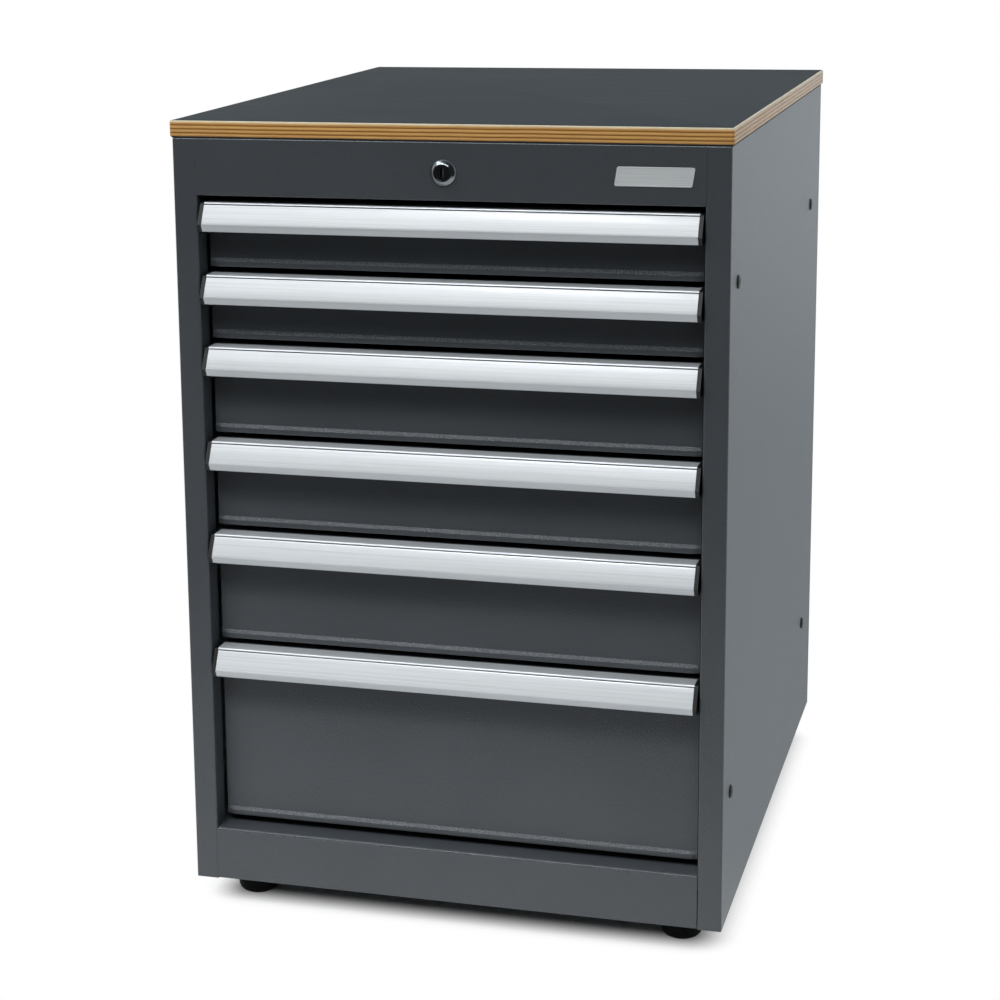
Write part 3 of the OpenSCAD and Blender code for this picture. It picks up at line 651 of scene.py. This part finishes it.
def build_handle(k):
    section = on_front(handle_outline(), k)
    half = 254.0
    piece = make_object(f"handle_{k}", *sweep_x(lambda _: section, [-half, half]),
                        [ALUMINIUM, GROOVE_PAINTED_SHADE], sharp=25)
    foot = front_top(k) - HANDLE_H
    for polygon in piece.data.polygons:
        y, z = polygon.center.y / MM, polygon.center.z / MM
        centre = Vector((PANEL_Y - y, z - foot)) - CORNER
        s, out = centre.dot(ALONG), centre.dot(OUT)
        # the faces in the nose groove take the dark grey: painted shade in the groove
        painted_shade_in_groove = GROOVE - 0.1 < s < GROOVE + 0.95 and GROOVE_DEEP - 0.1 < out < -0.2
        polygon.material_index = int(painted_shade_in_groove and abs(polygon.normal.x) < 0.5)
    bevel(piece, 0.15, 2, 40)
    place(piece, f"drawer_{k}", "handle_aluminium", f"drawer_{k}_handle")


def build_label(k):
    """Clear strip over its card: a crowned bar in the grip's channel, below a shadow groove."""
    first, last, steps = GROOVE + 0.85, FACE_L - 0.55, 12
    floor_out, edge_out, crown = -0.78, -0.3, 0.34
    points = [on_face(last, floor_out), on_face(first, floor_out)]
    for s in range(steps + 1):
        t = s / steps
        points.append(on_face(first + (last - first) * t, edge_out + crown * 4 * t * (1 - t)))
    section = on_front(fillet(points, {2: 0.2, steps + 2: 0.2}, 3), k)
    half = 253.7
    strip = make_object(f"label_{k}", *sweep_x(lambda _: section, [-half, half]), LABEL, sharp=40)
    place(strip, f"drawer_{k}", "label_film", f"drawer_{k}_label_strip")


# ---------------------------------------------------------------- lock and feet

def build_lock():
    """Rose and housing of the lock, and a zinc bar beside the plug's keyway that stands in for the
    slot's lit edge: a painted highlight.
    """
    forward = (Matrix.Translation((0, FRONT_Y * MM, LOCK_Z * MM))
               @ Matrix.Rotation(math.radians(90), 4, "X"))
    # radii and heights, which run forwards out of the rail
    rose = [(7.15, -24), (10, -24), (10, -1.2), (12.4, -1.2), (12.4, -0.02), (13.5, -0.02),
            (13.5, 0.35), (13.2, 0.9), (12.6, 1.5), (11.2, 2.65), (9.8, 3.8), (9.2, 4.25),
            (8.7, 4.45), (8.25, 4.3), (7.95, 3.8), (7.9, 2.6), (7.15, 2.5)]
    n = 96
    verts, faces = lathe(rose, forward, n)
    last = (len(rose) - 1) * n
    faces += [[last + i, last + (i + 1) % n, (i + 1) % n, i] for i in range(n)]
    housing = make_object("lock_rose", verts, faces, CHROME, sharp=40)
    place(housing, "cabinet", "chrome", "lock_housing")
    dress("lock_plug", BLACK)
    bevel(nodes["lock_plug"], 0.35)
    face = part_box("lock_plug")[0][1] / MM
    # zinc bar in place of the slot's lit edge: a painted highlight
    x0, x1, half = 0.35, 1.25, 3.6
    mark = make_object("keyway_edge_painted_highlight", *block((x0, face - 0.3, LOCK_Z - half),
                                             (x1, face + 0.2, LOCK_Z + half)), ZINC)
    place(bevel(mark, 0.25), "lock_cylinder", "zinc_steel")


def build_foot_nut(name, x, y):
    """Hexagonal lock nut, chamfered at both ends."""
    low, high, across, chamfer, ring = 26.8, 32.6, 19.0, 0.8, 24
    corner = across / math.sqrt(3)
    verts = []
    for z, largest in ((low, corner - 1.4), (low + chamfer, corner), (high - chamfer, corner),
                       (high, corner - 1.4)):
        for i in range(ring):
            angle = 2 * math.pi * i / ring
            flat = across / 2 / math.cos((angle + math.pi / 6) % (math.pi / 3) - math.pi / 6)
            r = min(flat, largest)
            verts.append(((x + r * math.cos(angle)) * MM, (y + r * math.sin(angle)) * MM, z * MM))
    nut = make_object(f"{name}_nut", verts, ring_faces(4, ring), ZINC, sharp=25)
    place(nut, name, "zinc_steel")


def build_foot(name, x, y):
    """Levelling foot: a rounded pad on a threaded stud with its lock nut."""
    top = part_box(name)[1][2] / MM
    pad = [(0, 0), (13.5, 0), (15.5, 0.4), (18.2, 1.9), (20.4, 4.3), (21.6, 7.4), (22.0, 11.0),
           (22.0, 16.0), (21.5, 17.6), (20.2, 18.6), (12.0, 19.6), (9.0, 20.0), (0, 20.0)]
    spot = Matrix.Translation(Vector((x, y, 0)) * MM)
    pad_mesh = make_object(f"{name}_pad", *lathe(pad, spot, 64), RUBBER, sharp=50)
    place(pad_mesh, name, "foot_polyamide", name)
    pitch, crest, root, z = 1.75, 6.0, 5.1, 20.0
    stud = [(0, z - 0.1), (root, z - 0.1)]
    while z + pitch < top - 1.0:
        stud += [(root, z + 0.2), (crest, z + pitch / 2), (crest, z + pitch / 2 + 0.15)]
        z += pitch
    stud += [(root, z), (root, top - 0.8), (root - 0.8, top), (0, top)]
    stud_mesh = make_object(f"{name}_stud", *lathe(stud, spot, 40), ZINC, sharp=35)
    place(stud_mesh, name, "zinc_steel")
    build_foot_nut(name, x, y)


# ---------------------------------------------------------------- surroundings

WHITE = (1, 1, 1, 1)
LAMP_TINT, SKY_TINT = (0.965, 1.0, 1.02), (0.92, 1.0, 1.05)
FLOOR_X, FLOOR_Y = 5.0, (-1.15, 6.0)
# within this half width and half depth the floor takes the shadow, and a blend further out is white
SHADED, BLEND = (("X", 0.24), ("Y", 0.30)), 0.06
# painted reflection: the floor glows in glossy rays, though it is no lamp, in this colour along Y:
# dark at the dark front of the studio, cooler beside and behind the cabinet
PAINTED_FLOOR_REFLECTION = ((-1.25, (0.05, 0.05, 0.05)), (-0.75, (0.95, 0.97, 0.98)), (-0.42, (0.95, 0.97, 0.98)),
        (-0.1, (0.62, 0.68, 0.71)), (2.2, (0.6, 0.66, 0.69)), (5.5, (0.92, 1.0, 1.04)))
SKY_LIGHT = 0.06            # what the world lights the object with
SKY_FRONT = 0.05            # what glossy surfaces see of it towards the studio's front


def build_floor():
    """White paper under the cabinet, which ends a step in front of it and keeps the shadow; in glossy
    rays it glows with a painted reflection.
    """
    m = Surface("floor_paper")
    m.set(color=(0.9, 0.9, 0.9, 1), rough=0.9, spec=0.1)
    at = m.split(m.coords)
    apart = [m.math("MAXIMUM", m.math("SUBTRACT", m.math("ABSOLUTE", at[axis]), half), 0.0)
             for axis, half in SHADED]
    squares = [m.math("POWER", a, 2.0) for a in apart]
    distance = m.math("SQRT", m.math("ADD", *squares))
    far = m.range(distance, 0.0, BLEND, 0, 1, "SMOOTHSTEP")
    path = m.add("ShaderNodeLightPath").outputs
    start, end = PAINTED_FLOOR_REFLECTION[0][0], FLOOR_Y[1]
    along = m.range(at["Y"], start, end, 0, 1)
    painted_reflection = m.ramp(along, [((y - start) / (end - start), (*color, 1)) for y, color in PAINTED_FLOOR_REFLECTION])
    # outside the shadow the floor glows white to the camera, and with the painted reflection in
    # glossy rays
    glow = m.add("ShaderNodeEmission")
    m.link(m.mix(path["Is Glossy Ray"], WHITE, painted_reflection), glow.inputs["Color"])
    seen = m.math("MAXIMUM", path["Is Camera Ray"], path["Is Glossy Ray"])
    shown = m.mix_shader(m.math("MULTIPLY", far, seen), m.shader.outputs[0], glow.outputs[0])
    m.link(shown, m.output.inputs["Surface"])
    y0, y1 = FLOOR_Y
    corners = [(-FLOOR_X, y0, 0), (FLOOR_X, y0, 0), (FLOOR_X, y1, 0), (-FLOOR_X, y1, 0)]
    make_object("floor", corners, [[0, 1, 2, 3]], m.material)


def build_world():
    """White to the camera; it lights little, and glossy surfaces see the studio's dark front."""
    world = bpy.data.worlds.new("studio")
    bpy.context.scene.world = world
    t = Tree(world)

    def background(strength, color=(1, 1, 1)):
        node = t.add("ShaderNodeBackground")
        node.inputs["Color"].default_value = (*color, 1)
        t.fill(node.inputs["Strength"], strength)
        return node.outputs[0]

    direction = t.split(t.add("ShaderNodeTexCoord").outputs["Generated"])
    side = t.range(direction["Y"], -0.45, 0.05, SKY_FRONT, 1.0, "SMOOTHSTEP")
    shown = background(1.0)
    path = t.add("ShaderNodeLightPath").outputs
    seen = t.mix_shader(path["Is Glossy Ray"], background(SKY_LIGHT, LAMP_TINT),
                        background(side, SKY_TINT))
    seen = t.mix_shader(path["Is Camera Ray"], seen, shown)
    seen = t.mix_shader(path["Is Transmission Ray"], seen, shown)
    t.link(seen, t.add("ShaderNodeOutputWorld").inputs["Surface"])


def build_lamp(name, position, target, power, size=None, cone=None):
    """A rectangular softbox, or with cone a soft spot light of that full angle in degrees."""
    data = bpy.data.lights.new(name, "AREA" if size else "SPOT")
    if size:
        data.shape = "RECTANGLE"
        data.size, data.size_y = size
    else:
        data.spot_size, data.spot_blend, data.shadow_soft_size = math.radians(cone), 1.0, 0.55
    data.energy = power
    data.color = LAMP_TINT
    lamp = bpy.data.objects.new(name, data)
    bpy.context.scene.collection.objects.link(lamp)
    lamp.location = position
    lamp.rotation_euler = (Vector(target) - Vector(position)).to_track_quat("-Z", "Y").to_euler()
    lamp.visible_camera = False


def build_camera():
    """The photograph's camera, as fitted to the cabinet's corners."""
    data = bpy.data.cameras.new("camera")
    data.sensor_width = 36.0
    data.lens = 85.507
    data.shift_x, data.shift_y = 0.1, -0.1
    camera = bpy.data.objects.new("camera", data)
    bpy.context.scene.collection.objects.link(camera)
    camera.location = (0.6210, -2.6075, 1.0762)
    camera.rotation_euler = [math.radians(a) for a in (77.844, 0.842, 16.386)]
    bpy.context.scene.camera = camera


# ---------------------------------------------------------------- all together

dress_nodes()
build_weld_seams()
# the plinth's fold bead, in the paint with painted glints
build_fold_bead("base_fold_bead", POST_X - 1, BASE_TOP, 3.0, 0.15, FOLD_PAINTED_GLINTS)
# the rail's top fold bead, in a light paint that is a painted highlight
build_fold_bead("rail_fold_bead", HALF_W - 1, RAIL_TOP - 0.1, 0.9, 0.35, EDGE_PAINTED_HIGHLIGHT)
build_worktop()
for k in DRAWERS:
    build_front(k)
    build_handle(k)
    build_label(k)
build_lock()
build_hole_plugs()
for name, (x, y) in FEET.items():
    build_foot(name, x, y)
build_plate()

build_floor()
build_world()
build_lamp("key", (-1.0, -3.1, 4.65), (0, -0.36, 0.5), 222, size=(8.0, 2.3))
build_lamp("side", (2.6, 0.2, 1.7), (0.2, 0, 0.5), 8, size=(1.6, 1.6))
build_lamp("low_key", (-1.0, -3.1, 4.0), (-0.35, -0.9, 0.0), 380, cone=25)
build_camera()
bpy.context.scene.view_settings.view_transform = "Standard"
